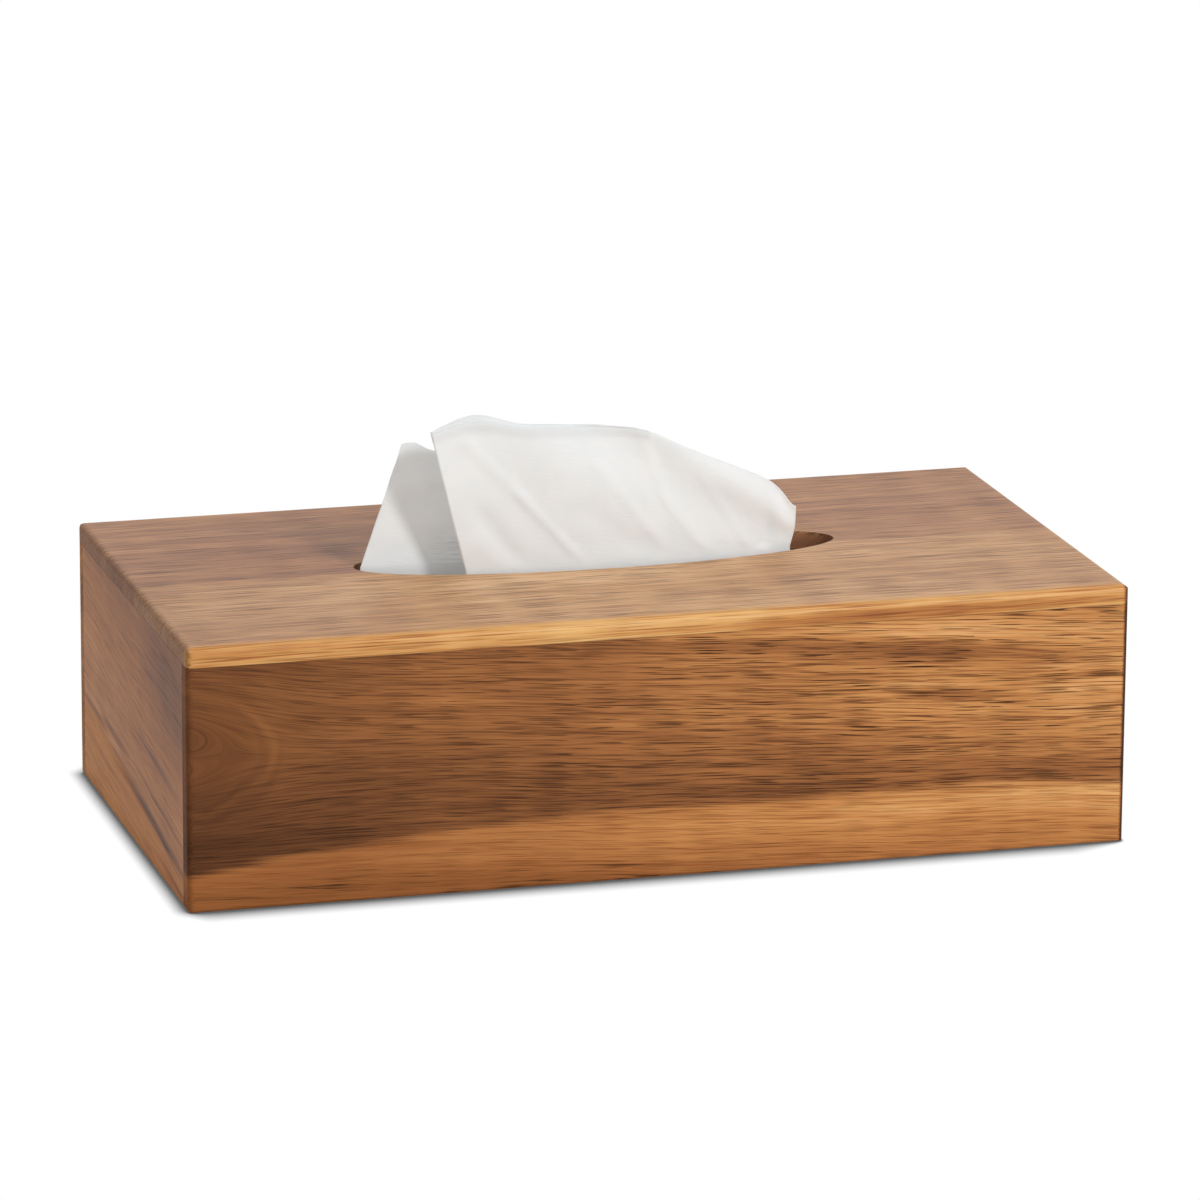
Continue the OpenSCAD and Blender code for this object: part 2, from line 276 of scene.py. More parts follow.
# A board's entry says:
# ends and bands: its tone along it, and how much lighter or darker than 0.5 it is across it
# patches: where, as (along, across, deep), how large, and how much lighter or darker
# lean: how steeply the grain leans, and between which two places across that sets in
# knot: where along and across, how much longer than wide, and how far its outer ring is
# sapEdge and sapLight: up to where across the sapwood goes, and its tone, along the board
# figure, pores, endGrain, polish and glue: how much each of these shows
# slot: half the length and width of the place that holds it, and up to where its wall goes
# grain: the scales that are its own, in place of those in grainScale
boardLooks = {
    "front_board": {
        "wood": "oiled dark acacia with sapwood at the foot",
        "axes": ("X", "Z", "Y"), "reach": 130, "width": 72, "seed": 3, "tones": heartTones,
        "ends": [(0, 0.33), (0.2, 0.42), (0.5, 0.60), (0.75, 0.70), (1, 0.76)],
        # The bands go much darker towards the foot
        "bands": [
            (0, 0.12), (0.0625, 0.18), (0.14, 0.36), (0.2, 0.40), (0.26, 0.37), (0.40, 0.47), (0.6, 0.52),
            (0.8, 0.50), (0.92, 0.5),
        ],
        "patches": [
            ((-128, 9, 0), (70, 5, through), -0.03), ((-124, 30, 0), (12, 14, through), -0.06),
            ((70, 67.5, 0), (60, 3, through), 0.14), ((112, 60.5, 0), (46, 7, through), -0.03),
            ((120, 55, 0), (14, 8, through), 0.08), ((-122, 45, 0), (40, 9, through), 0.06),
            ((50, 62.5, 0), (50, 2.2, through), -0.18), ((-30, 63, 0), (26, 2.4, through), -0.08),
            ((75, 60.3, 0), (17, 1.6, through), -0.22), ((112, 59.5, 0), (10, 1.2, through), -0.2),
            ((80, 50, 0), (12, 1.6, through), -0.24), ((116, 54.2, 0), (9, 1.0, through), -0.2),
            ((34, 24, 0), (26, 1.8, through), -0.14), ((118, 28, 0), (22, 3, through), -0.06),
            ((0, 31, 0), (60, 10, through), -0.14), ((90, 36, 0), (40, 8, through), -0.11),
            ((-72, 52.6, 0), (26, 7, through), 0.08), ((-58, 48.6, 0), (10, 1.6, through), 0.08),
            # The last patch is painted shade: a dark line down the rounded right-hand corner
            ((130.4, 36, -68), (1.3, through, 1.4), -1.6),
        ],
        "lean": (0.06, -20, -10), "knot": (-136, 43.5, 1.75, 16.5),
        "sapEdge": [
            (0, 9.8), (0.08, 12.8), (0.16, 14.8), (0.28, 17.6), (0.45, 19.2), (0.62, 18.6), (0.8, 19.4),
            (1, 16.8),
        ],
        "sapLight": [(0, 0.56), (0.12, 0.51), (0.3, 0.56), (0.6, 0.74), (1, 0.93)],
        "figure": [(0, 0.55), (0.2, 0.7), (0.5, 1.0), (0.75, 1.1), (1, 1.05)], "pores": 0.95,
        "endGrain": 0.15, "polish": 0.12, "glue": 0.3, "joints": [("Z", 66.8)],
    },
    "back_board": {
        "wood": "oiled brown acacia",
        "axes": ("X", "Z", "Y"), "reach": 130, "width": 72, "seed": 11, "tones": heartTones,
        "ends": [(0, 0.66), (0.4, 0.58), (1, 0.48)],
        "bands": [(0, 0.58), (0.3, 0.42), (0.55, 0.55), (0.75, 0.4), (0.92, 0.56)],
        "patches": [((40, 30, 0), (70, 8, through), 0.14), ((-80, 55, 0), (60, 7, through), -0.1)],
        "lean": (-0.03, 10, 60), "knot": (150, 30, 1.6, 24),
        "figure": [(0, 1), (1, 0.8)], "pores": 0.7, "endGrain": 0.1, "polish": 0.12, "glue": 0.5,
        "joints": [("Z", 66.8)],
    },
    "top_front_stave": {
        "wood": "oiled light acacia with a pale front edge",
        "axes": ("X", "Y", "Z"), "reach": 130, "width": 137, "seed": 23, "tones": tanTones,
        # Its light tones are partly the wood and partly painted sheen, in the place of a stronger reflection
        # of the white room
        "ends": [(0, 0.56), (0.3, 0.65), (0.5, 0.71), (0.7, 0.66), (1, 0.60)],
        "bands": [(-0.5, 0.5), (-0.45, 0.52), (-0.3, 0.5), (-0.15, 0.52), (0, 0.5)],
        "patches": [
            # The second patch on the next line is painted shade, the same dark line down the rounded
            # right-hand corner
            ((80, -42, 0), (70, 5, through), -0.02), ((130.4, -68, 70), (1.3, 2.4, through), -1.4),
            ((-60, -20, 0), (60, 6, through), 0.03), ((-32, -26, 0), (54, 17, through), 0.1),
            ((58, -27, 0), (24, 8, through), -0.09), ((-110, -60, 0), (50, 9, through), -0.08),
            # The first patch on the next line is painted shade, a darker band along the right half of the
            # top's front edge
            ((60, -68.5, 68.4), (46, 4, 1.4), -0.3), ((-40, -68.5, 66.8), (60, 4, 1.2), 0.05),
            ((66, -68.5, 69.4), (36, 4, 2), -0.1),
        ],
        "lean": (0.02, -68, -20),
        "sapEdge": [(0, -65), (0.15, -64.5), (0.4, -65.5), (0.6, -64.5), (0.8, -65.5), (1, -65)],
        "sapLight": [(0, 0.76), (0.35, 0.80), (0.6, 0.86), (1, 0.74)], "sapTones": edgeTones,
        "figure": [(0, 1.2), (1, 1.15)], "pores": 0.7, "grain": topGrain, "endGrain": 0.42,
        "slot": (78, 24, 70.6), "polish": 0.34, "glue": 0.2, "joints": [("Z", 66.8)],
    },
    "top_back_stave": {
        "wood": "oiled pinkish brown acacia, partly painted sheen",
        "axes": ("X", "Y", "Z"), "reach": 130, "width": 137, "seed": 31, "tones": pinkTones,
        # Its pinkish tones are partly the wood and partly painted sheen, in the place of a stronger
        # reflection of the white room
        "ends": [(0, 0.66), (0.3, 0.62), (0.6, 0.69), (1, 0.68)],
        "bands": [(0, 0.5), (0.15, 0.46), (0.3, 0.5), (0.5, 0.54)],
        "patches": [
            ((-100, 22, 0), (60, 9, through), -0.06), ((-60, 40, 0), (50, 6, through), -0.04),
            # The last patch is painted shade inside the slot: its back wall goes darker towards its foot
            ((0, 8, 67.5), (84, 16, 2.6), -0.3),
        ],
        "lean": (-0.02, 0, 60),
        "figure": [(0, 1.15), (1, 1.15)], "pores": 0.7, "grain": topGrain, "endGrain": 0.42,
        "slot": (78, 24, 70.6), "polish": 0.34, "glue": 0.4, "joints": [("Z", 66.8)],
    },
    "left_end_board": {
        "wood": "oiled greyish brown acacia",
        "axes": ("Y", "Z", "X"), "reach": 68.5, "width": 72, "seed": 43, "tones": greyTones,
        "ends": [(0, 0.58), (0.5, 0.63), (1, 0.72)],
        "bands": [(0, 0.5), (0.1, 0.54), (0.3, 0.56), (0.45, 0.5), (0.6, 0.52), (0.92, 0.42)],
        "patches": [
            ((-50, 58, 0), (26, 12, through), -0.22), ((34, 63, 0), (40, 5, through), -0.06),
            ((48, 18.3, 0), (14, 1.2, through), -0.3), ((22, 20.8, 0), (14, 1.2, through), -0.34),
            ((-22, 14.1, 0), (36, 1.3, through), -0.5), ((-30, 33, 0), (20, 0.9, through), -0.24),
            ((-36, 21.8, 0), (26, 0.9, through), -0.26), ((-50, 8, 0), (16, 0.8, through), -0.3),
            ((30, 9, 0), (26, 0.8, through), -0.16), ((10, 16, 0), (24, 0.8, through), -0.14),
        ],
        "lean": (-0.1, -20, -10),
        "sapEdge": [(0, 7), (0.25, 11), (0.5, 16), (0.75, 21), (1, 23)],
        "sapLight": [(0, 0.46), (0.5, 0.52), (1, 0.52)],
        "figure": [(0, 0.75), (1, 0.75)], "pores": 0.32, "polish": 0.05, "glue": 0.3,
        "joints": [("Z", 66.8), ("Y", -62.5), ("Y", 62.5)],
    },
    "right_end_board": {
        "wood": "oiled reddish acacia",
        "axes": ("Y", "Z", "X"), "reach": 68.5, "width": 72, "seed": 57, "tones": pinkTones,
        "ends": [(0, 0.66), (0.5, 0.56), (1, 0.5)],
        "bands": [(0, 0.5), (0.25, 0.42), (0.45, 0.58), (0.7, 0.46), (0.92, 0.54)],
        "patches": [((20, 30, 0), (40, 9, through), 0.12)],
        "lean": (0.05, 10, 50), "knot": (95, 40, 1.5, 22),
        "figure": [(0, 0.8), (1, 0.9)], "pores": 0.5, "polish": 0.1, "glue": 0.3,
        "joints": [("Z", 66.8), ("Y", -62.5), ("Y", 62.5)],
    },
    "base_panel": {
        "wood": "oiled pale acacia",
        "axes": ("X", "Y", "Z"), "reach": 130, "width": 137, "seed": 71, "tones": tanTones,
        "ends": [(0, 0.62), (0.5, 0.56), (1, 0.64)],
        "bands": [(-0.5, 0.56), (-0.2, 0.46), (0.1, 0.56), (0.3, 0.44), (0.5, 0.54)],
        "patches": [((-40, 20, 0), (80, 12, through), 0.1), ((60, -30, 0), (70, 9, through), -0.12)],
        "lean": (0.02, -60, 60),
        "figure": [(0, 0.8), (1, 0.8)], "pores": 0.6, "polish": 0.2, "glue": 0, "joints": [],
    },
}


def offFrom(tree, point, middle, size):  # 0 at the middle and 1 at this half size away from it
    off = addNode(tree, "ShaderNodeVectorMath", {0: point, 1: middle}, operation="SUBTRACT")
    inverse = tuple(1 / half for half in size)
    off = addNode(tree, "ShaderNodeVectorMath", {0: off, 1: inverse}, operation="MULTIPLY")
    return addNode(tree, "ShaderNodeVectorMath", {0: off}, operation="LENGTH").outputs["Value"]


def makeAcacia(look):
    wood = bpy.data.materials.new(look["wood"])
    wood.use_nodes = True
    tree = wood.node_tree
    tree.nodes.clear()
    ground = addNode(tree, "ShaderNodeTexCoord")
    place = addNode(tree, "ShaderNodeVectorMath", {0: ground.outputs["Object"], 3: 1000}, operation="SCALE")
    place = addNode(tree, "ShaderNodeSeparateXYZ", {0: place})
    along, across, deep = (place.outputs[axis] for axis in look["axes"])
    share = addNode(
        tree, "ShaderNodeMapRange", {"Value": along, "From Min": -look["reach"], "From Max": look["reach"]},
    )

    def stretched(point, name):
        length, width = look.get("grain", grainScale).get(name, grainScale[name])
        shift = look["seed"] * acacia["seedStep"]
        return addNode(
            tree, "ShaderNodeVectorMath",
            {0: point, 1: (1 / length, 1 / width, 1 / width), 2: (shift, shift, -shift)},
            operation="MULTIPLY_ADD",
        )

    def pattern(point, name, detail, rough=0.5):
        return addNode(
            tree, "ShaderNodeTexNoise",
            {"Vector": stretched(point, name), "Scale": 1, "Detail": detail, "Roughness": rough},
        )

    # The grain's flow: it wanders, leans towards one end and parts round a knot
    flat = addNode(tree, "ShaderNodeCombineXYZ", {0: along, 1: across, 2: deep})
    wander = addNode(tree, "ShaderNodeMapRange", {
        "Value": pattern(flat, "wander", 1), "To Min": -acacia["wander"], "To Max": acacia["wander"],
    })
    lean, low, high = look["lean"]
    leaning = addNode(
        tree, "ShaderNodeMapRange", {"Value": across, "From Min": low, "From Max": high, "To Max": lean},
        interpolation_type="SMOOTHSTEP",
    )
    wavy = addNode(tree, "ShaderNodeMath", {0: across, 1: wander}, operation="ADD")
    flow = addNode(tree, "ShaderNodeMath", {0: leaning, 1: along, 2: wavy}, operation="MULTIPLY_ADD")
    if "knot" in look:
        knotAlong, knotAcross, stretch, ring = look["knot"]
        off = addNode(
            tree, "ShaderNodeVectorMath", {0: flat, 1: (knotAlong, knotAcross, 0)}, operation="SUBTRACT",
        )
        off = addNode(tree, "ShaderNodeVectorMath", {0: off, 1: (1 / stretch, 1, 0)}, operation="MULTIPLY")
        square = addNode(
            tree, "ShaderNodeVectorMath", {0: off, 1: off}, operation="DOT_PRODUCT",
        ).outputs["Value"]
        core = (acacia["knotCore"] * ring) ** 2
        square = addNode(tree, "ShaderNodeMath", {0: square, 1: core}, operation="ADD")
        push = (acacia["knotParting"] * ring) ** 2
        parting = addNode(tree, "ShaderNodeMath", {0: push, 1: square}, operation="DIVIDE")
        above = addNode(tree, "ShaderNodeMath", {0: across, 1: knotAcross}, operation="SUBTRACT")
        parting = addNode(tree, "ShaderNodeMath", {0: parting, 1: above}, operation="MULTIPLY")
        flow = addNode(tree, "ShaderNodeMath", {0: flow, 1: parting}, operation="SUBTRACT")
    rings = addNode(
        tree, "ShaderNodeMath", {0: deep, 1: acacia["ringSlant"], 2: flow}, operation="MULTIPLY_ADD",
    )
    grain = addNode(tree, "ShaderNodeCombineXYZ", {0: along, 1: rings, 2: deep})
    bent = addNode(tree, "ShaderNodeCombineXYZ", {0: along, 1: flow, 2: deep})
    band = pattern(grain, "band", 2)
    mottle = pattern(flat, "mottle", 2)
    streak = pattern(grain, "streak", 2, 0.6)
    fibre = pattern(grain, "fibre", 1, 0.6)

    # Tone: along the board, across it in bands, and in streaks and fibres darker than the ground
    tone = addNode(tree, "ShaderNodeValToRGB", {0: share}, look["ends"])
    level = addNode(tree, "ShaderNodeMath", {0: wavy, 1: look["width"]}, operation="DIVIDE")
    lowest = min(0, look["bands"][0][0])
    level = addNode(tree, "ShaderNodeMath", {0: level, 1: lowest}, operation="SUBTRACT")
    banded = addNode(tree, "ShaderNodeValToRGB", {0: level}, [(p - lowest, v) for p, v in look["bands"]])
    banded = addNode(tree, "ShaderNodeMath", {0: banded, 1: 0.5}, operation="SUBTRACT")
    tone = addNode(tree, "ShaderNodeMath", {0: tone, 1: banded}, operation="ADD")
    lively = 0
    for noisy, (low, high, darkest, palest) in zip((band, mottle, streak, fibre), grainTone.values()):
        change = addNode(tree, "ShaderNodeMapRange", {
            "Value": noisy, "From Min": low, "From Max": high, "To Min": darkest, "To Max": palest,
        })
        lively = addNode(tree, "ShaderNodeMath", {0: change, 1: lively}, operation="ADD")
    most = max(v for p, v in look["figure"])
    figure = addNode(tree, "ShaderNodeValToRGB", {0: share}, [(p, v / most) for p, v in look["figure"]])
    figure = addNode(tree, "ShaderNodeMath", {0: figure, 1: most}, operation="MULTIPLY")
    lively = addNode(tree, "ShaderNodeMath", {0: lively, 1: figure}, operation="MULTIPLY")
    calm = 0
    if "knot" in look:  # smooth wood inside faint pale rings
        off = addNode(tree, "ShaderNodeVectorMath", {0: off}, operation="LENGTH").outputs["Value"]
        ragged = addNode(
            tree, "ShaderNodeMath", {0: mottle, 1: acacia["knotRagged"], 2: off}, operation="MULTIPLY_ADD",
        )
        off = addNode(tree, "ShaderNodeMath", {0: ragged, 1: acacia["knotRagged"] / 2}, operation="SUBTRACT")
        off = addNode(tree, "ShaderNodeMath", {0: off, 1: 2 * ring}, operation="DIVIDE")
        rounds = addNode(tree, "ShaderNodeValToRGB", {0: off}, acacia["knotTones"])
        outer, inner = acacia["knotEdge"]
        calm = addNode(
            tree, "ShaderNodeMapRange",
            {"Value": off, "From Min": outer, "From Max": inner, "To Max": acacia["knotCalm"]},
            interpolation_type="SMOOTHSTEP",
        )
        lively = addNode(tree, "ShaderNodeMix", {0: calm, 2: lively, 3: 0.0}, data_type="FLOAT")
        lively = addNode(tree, "ShaderNodeMath", {0: lively, 1: rounds}, operation="ADD")
        lively = addNode(tree, "ShaderNodeMath", {0: lively, 1: 0.5}, operation="SUBTRACT")
    if "slot" in look:  # its wall, cut through the wood below the arris, is smoother than the top
        long, wide, wallTop = look["slot"]
        off = offFrom(tree, flat, (0, 0, 0), (long, wide, math.inf))
        within = addNode(tree, "ShaderNodeMath", {0: off, 1: 1}, operation="LESS_THAN")
        arris = wallTop + acacia["slotArris"]
        calm = addNode(
            tree, "ShaderNodeMapRange",
            {"Value": deep, "From Min": arris, "From Max": wallTop, "To Max": acacia["slotCalm"]},
        )
        calm = addNode(tree, "ShaderNodeMath", {0: calm, 1: within}, operation="MULTIPLY")
        lively = addNode(tree, "ShaderNodeMix", {0: calm, 2: lively, 3: 0.0}, data_type="FLOAT")
    outer, inner = acacia["patchEdge"]
    for middle, size, change in look["patches"]:
        off = offFrom(tree, bent, middle, size)
        soft = addNode(
            tree, "ShaderNodeMapRange",
            {"Value": off, "From Min": outer, "From Max": inner, "To Max": change},
            interpolation_type="SMOOTHSTEP",
        )
        lively = addNode(tree, "ShaderNodeMath", {0: lively, 1: soft}, operation="ADD")
    tone = addNode(tree, "ShaderNodeMath", {0: tone, 1: lively}, operation="ADD")
    colour = addNode(tree, "ShaderNodeValToRGB", {0: tone}, look["tones"])

    smooth = calm
    if "sapEdge" in look:
        low = min(v for p, v in look["sapEdge"])
        high = max(v for p, v in look["sapEdge"]) + 0.001
        edge = addNode(
            tree, "ShaderNodeValToRGB", {0: share},
            [(p, (v - low) / (high - low)) for p, v in look["sapEdge"]],
        )
        edge = addNode(tree, "ShaderNodeMapRange", {"Value": edge, "To Min": low, "To Max": high})
        stray, fade = acacia["sapRagged"], acacia["sapFade"]
        ragged = addNode(tree, "ShaderNodeMapRange", {"Value": streak, "To Min": -stray, "To Max": stray})
        edge = addNode(tree, "ShaderNodeMath", {0: edge, 1: ragged}, operation="ADD")
        inside = addNode(tree, "ShaderNodeMath", {0: edge, 1: across}, operation="SUBTRACT")
        inside = addNode(
            tree, "ShaderNodeMapRange", {"Value": inside, "From Min": -fade, "From Max": fade},
            interpolation_type="SMOOTHSTEP",
        )
        smooth = addNode(
            tree, "ShaderNodeMath", {0: inside, 1: acacia["sapCalm"], 2: calm}, operation="MULTIPLY_ADD",
            use_clamp=True,
        )
        pale = addNode(tree, "ShaderNodeValToRGB", {0: share}, look["sapLight"])
        pale = addNode(tree, "ShaderNodeMath", {0: pale, 1: banded}, operation="ADD")
        pale = addNode(tree, "ShaderNodeMath", {0: pale, 1: lively}, operation="ADD")
        pale = addNode(tree, "ShaderNodeValToRGB", {0: pale}, look.get("sapTones", sapTones))
        colour = addNode(tree, "ShaderNodeMix", {0: inside, 6: colour, 7: pale}, data_type="RGBA").outputs[2]

    # Open pores in clusters, dark end grain, and the hairlines of the glued joints
    scattered = addNode(
        tree, "ShaderNodeVectorMath",
        {0: fibre, 1: (acacia["poreStray"], 0, 0), 2: stretched(grain, "pore")},
        operation="MULTIPLY_ADD",
    )
    field = addNode(
        tree, "ShaderNodeTexVoronoi", {"Vector": scattered, "Scale": 1}, voronoi_dimensions="2D",
    ).outputs
    border, middle = acacia["poreEdge"]
    pore = addNode(
        tree, "ShaderNodeMapRange",
        {"Value": field["Distance"], "From Min": border, "From Max": middle, "To Max": look["pores"]},
        interpolation_type="SMOOTHSTEP",
    )
    luck = addNode(tree, "ShaderNodeSeparateColor", {0: field["Color"]})
    cluster = addNode(tree, "ShaderNodeMath", {0: pattern(grain, "poreCluster", 2), 1: luck}, operation="ADD")
    few, many = acacia["poreChance"]
    cluster = addNode(
        tree, "ShaderNodeMapRange", {"Value": cluster, "From Min": few, "From Max": many},
        interpolation_type="SMOOTHSTEP",
    )
    pore = addNode(tree, "ShaderNodeMath", {0: pore, 1: cluster}, operation="MULTIPLY")
    pore = addNode(tree, "ShaderNodeMix", {0: smooth, 2: pore, 3: 0.0}, data_type="FLOAT")
    pore = addNode(tree, "ShaderNodeMath", {0: pore, 1: figure}, operation="MULTIPLY")
    colour = addNode(
        tree, "ShaderNodeMix", {0: pore, 6: colour, 7: linear(poreColour)}, data_type="RGBA",
    ).outputs[2]
    facing = addNode(tree, "ShaderNodeSeparateXYZ", {0: ground.outputs["Normal"]}).outputs[look["axes"][0]]
    facing = addNode(tree, "ShaderNodeMath", {0: facing}, operation="ABSOLUTE")
    start, full = acacia["endFacing"]
    endGrain = addNode(
        tree, "ShaderNodeMapRange", {"Value": facing, "From Min": start, "From Max": full},
        interpolation_type="SMOOTHSTEP",
    )
    strength = look.get("endGrain", acacia["endGrain"])
    darker = addNode(tree, "ShaderNodeMath", {0: endGrain, 1: strength}, operation="MULTIPLY")
    colour = addNode(
        tree, "ShaderNodeMix", {0: darker, 6: colour, 7: linear(endColour)}, data_type="RGBA",
    ).outputs[2]
    faint, full = acacia["glueLine"]
    for axis, at in look["joints"]:
        off = addNode(tree, "ShaderNodeMath", {0: place.outputs[axis], 1: at}, operation="SUBTRACT")
        off = addNode(tree, "ShaderNodeMath", {0: off}, operation="ABSOLUTE")
        glue = addNode(
            tree, "ShaderNodeMapRange",
            {"Value": off, "From Min": faint, "From Max": full, "To Max": look["glue"]},
            interpolation_type="SMOOTHSTEP",
        )
        colour = addNode(
            tree, "ShaderNodeMix", {0: glue, 6: colour, 7: linear(glueColour)}, data_type="RGBA",
        ).outputs[2]

    silky, dull = acacia["roughness"]
    rough = addNode(tree, "ShaderNodeMapRange", {"Value": streak, "To Min": silky, "To Max": dull})
    polish = addNode(
        tree, "ShaderNodeMapRange",
        {"Value": endGrain, "To Min": look["polish"], "To Max": acacia["endPolish"] * look["polish"]},
    )
    eased = addNode(tree, "ShaderNodeBevel", {"Radius": acacia["sanded"] * mm}, samples=4)
    bump = addNode(tree, "ShaderNodeBump", {
        "Height": pore, "Strength": acacia["poreBump"], "Distance": acacia["poreDepth"] * mm,
        "Normal": eased,
    }, invert=True)
    skin = addNode(tree, "ShaderNodeBsdfPrincipled", {
        "Base Color": colour, "Roughness": rough, "IOR": acacia["ior"], "Specular IOR Level": polish,
        "Normal": bump,
    })
    addNode(tree, "ShaderNodeOutputMaterial", {"Surface": skin})
    return wood


print("scene: wood")
for name, look in boardLooks.items():
    board = boards[name].data
    board.materials.clear()
    board.materials.append(makeAcacia(look))


# The drawn tissue, as strings that run from its upper edge down through the slot, out along the
# pack, and for its rear half round a fold into the leaf that still lies flat. Millimetres, and
# columns of the tables below, which go round the tissue from its left edge by the front.

tissueSheet = {
    "cut": 200,  # a common square tissue, folded once in the pack
    "thickness": 0.3,  # two crepe plies, which lie loosely together
    "slotHalf": (68, 17.5), "slotBack": 1, "caseTop": 72, "rise": 43.2,
    "packHalf": (100, 50), "hemLevel": 56.15, "bend": 5.6, "leafLevel": 55.35,
    "foldDepth": 1.1, "foldRoot": 1, "foldTurn": 105, "foldSpread": 0.9, "foldLead": 0.17,
    "foldEnds": (12, 14), "foldEndDepth": 0.8,  # columns over which the folds go flat, and how flat
    "sideTurn": 9, "sideTurnDepth": 0.9,  # the column of the right hand turn, where they do too
    "belly": 0.6, "bellyAt": 8.9,  # how far that turn bulges, and at which column
    "creasesEnd": (7.5, 9),  # columns over which the front leaf's creases stop
    "heldFrom": 0.85,  # share of the way down at which the slot begins to hold the paper smooth
    "crumple": ((0.22, (11, 11, 9), 0), (0.05, (3, 4, 3), 9)),  # how deep, how long, and a start
    "edgeWave": 0.15, "edgeRate": 2.1,  # how much and how fast the upper edge goes up and down
    "leafEdge": 47.2, "leafEnd": 49, "leafShare": 0.97,  # the flat leaf's rear fold, front edge and width
    "leafJoin": (0.33, 0.67, 1),  # steps from the hem to that fold
    "stepsPerColumn": 12, "riseSteps": 44, "dropSteps": 8, "bendSteps": 6, "hemSteps": 8,
    "turnSteps": 6, "leafSteps": 24, "measuredRow": 10,
    "leafFrom": 11,  # the column from which the hem goes on into the flat leaf
    "rearPlyTo": 5,  # and up to which the rear ply shows above the front one
    "rearPlyRows": 5, "rearPlyGap": 0.3, "rearPlyClosed": 0.28, "rearPlyFade": 1.5, "rearPlyDown": 1.3,
}
# The upper edge, as shares of the slot's half length and width and of the rise
rimShares = [
    (-0.729, -0.69, 0.914), (-0.547, -0.60, 0.998), (-0.351, -0.54, 0.921), (-0.188, -0.51, 0.898),
    (0.000, -0.51, 0.875), (0.180, -0.51, 0.821), (0.395, -0.51, 0.660), (0.682, -0.51, 0.456),
    (0.785, -0.41, 0.290), (0.815, -0.20, 0.240), (0.710, 0.16, 0.240), (0.450, 0.34, 0.360),
    (0.120, 0.42, 0.500), (-0.200, 0.45, 0.600), (-0.450, 0.46, 0.660), (-0.635, 0.45, 0.679),
    (-0.718, 0.45, 0.737), (-0.772, 0.45, 0.735),
]
# Where each string passes the slot's upper edge, as shares of the same half length and width
waistShares = [
    (-0.587, -0.72), (-0.430, -0.77), (-0.265, -0.79), (-0.120, -0.80), (0.045, -0.80), (0.206, -0.79),
    (0.400, -0.74), (0.600, -0.63), (0.740, -0.48), (0.790, -0.32), (0.725, -0.17), (0.485, -0.11),
    (0.176, -0.10), (-0.147, -0.09), (-0.440, -0.08), (-0.676, -0.07), (-0.840, -0.06), (-0.976, -0.03),
]
# Where it ends on the pack, as shares of the pack's half length and depth
hemShares = [
    (-0.52, -0.90), (-0.42, -0.92), (-0.28, -0.92), (-0.12, -0.92), (0.04, -0.92), (0.20, -0.92),
    (0.40, -0.92), (0.62, -0.88), (0.84, -0.62), (0.92, -0.12), (0.86, 0.42), (0.62, 0.86), (0.25, 0.92),
    (-0.10, 0.92), (-0.38, 0.92), (-0.62, 0.90), (-0.80, 0.84), (-0.92, 0.70),
]
# Creases and hollows of the front leaf: from (x, z) to (x, z), how wide, and how far they stand out
creases = [
    ((-39.0, 107.0), (-24.2, 91.9), 1.6, 0.32),
    ((-24.2, 91.9), (-4.6, 70.0), 1.3, 0.46),
    ((10.9, 104.5), (17.0, 88.0), 1.5, 0.36),
    ((17.0, 88.0), (30.9, 70.0), 1.6, 0.42),
    ((27.8, 93.1), (39.7, 74.8), 1.1, 0.26),
    ((-1.4, 97.4), (14.6, 77.3), 1.6, 0.28),
    ((-33.0, 84.0), (-22.4, 70.0), 2.8, -0.8),
    ((-2.0, 84.0), (17.0, 70.0), 4.2, -0.5),
    ((49.0, 94.0), (44.5, 72.0), 2.2, -1.1),
]
# How far the front ply's upper edge lies below the rear ply's, by column, in millimetres
plyStep = [(0, 0.2), (1, 1.9), (2, 0.9), (3, 0.7), (4, 0.4), (5, 0)]


def alongTable(table, u):  # a smooth curve through the table's rows
    last = len(table) - 1
    i = min(int(u), last - 1)
    f = u - i
    a, b, c, d = (np.array(table[k], float) for k in (max(i - 1, 0), i, i + 1, min(i + 2, last)))
    return b + f / 2 * (c - a + f * (2 * a - 5 * b + 4 * c - d + f * (3 * b - a - 3 * c + d)))


def smooth(low, high, value):
    t = min(1, max(0, (value - low) / (high - low)))
    return t * t * (3 - 2 * t)


def creaseAt(x, z):
    stand = 0
    for (x0, z0), (x1, z1), width, height in creases:
        lineX, lineZ = x1 - x0, z1 - z0
        length = math.hypot(lineX, lineZ)
        t = ((x - x0) * lineX + (z - z0) * lineZ) / length ** 2
        off = ((x - x0) * lineZ - (z - z0) * lineX) / length
        beyond = max(0, -t, t - 1) * length
        stand += height * math.exp(-(off / width) ** 2 - (beyond / (2 * width)) ** 2)
    return stand


def rimPoint(u, s):
    rx, ry, rz = alongTable(rimShares, u)
    return np.array(
        [rx * s["slotHalf"][0], s["slotBack"] + ry * s["slotHalf"][1], s["caseTop"] + rz * s["rise"]]
    )


